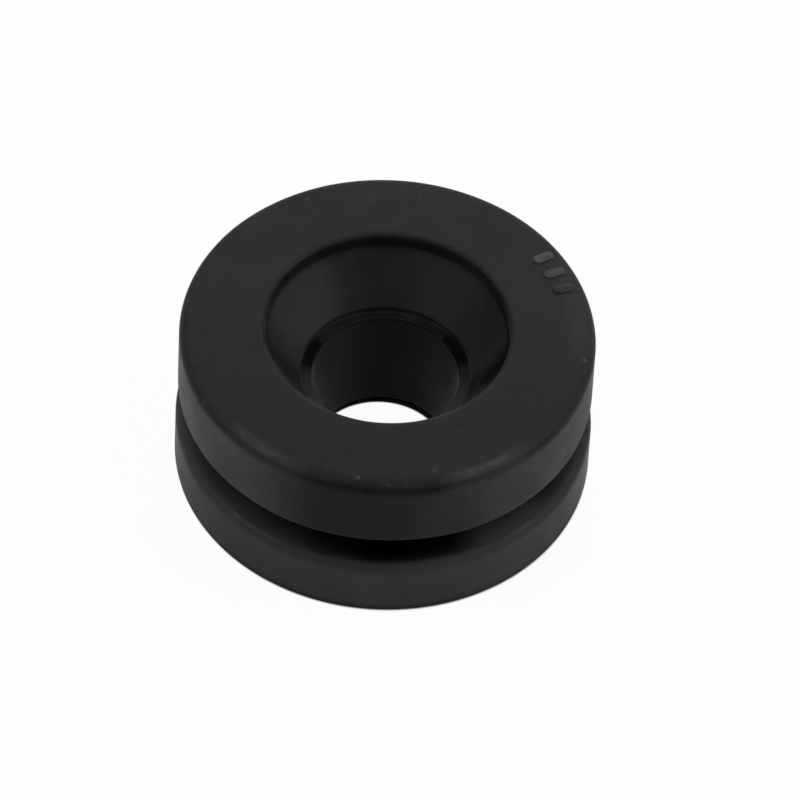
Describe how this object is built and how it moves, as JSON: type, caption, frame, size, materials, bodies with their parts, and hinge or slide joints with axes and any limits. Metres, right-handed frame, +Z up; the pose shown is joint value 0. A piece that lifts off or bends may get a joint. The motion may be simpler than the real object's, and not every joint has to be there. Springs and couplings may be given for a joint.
{
  "type": "bump stop",
  "caption": "Round moulded rubber bump stop with a crowned top face, a plate groove round its waist and a stepped funnel-shaped hole.",
  "frame": {"origin": "centre of the flat underside, on the axis of the hole", "axes": "+Z up the hole to the top face; X and Y lie in the underside, and the part is the same all round"},
  "size_m": [0.0252, 0.0252, 0.0115],
  "materials": {
    "moulded_rubber": "matt compression-moulded black rubber"
  },
  "bodies": {
    "root": {"bump_stop": "moulded_rubber"}
  },
  "joints": []
}
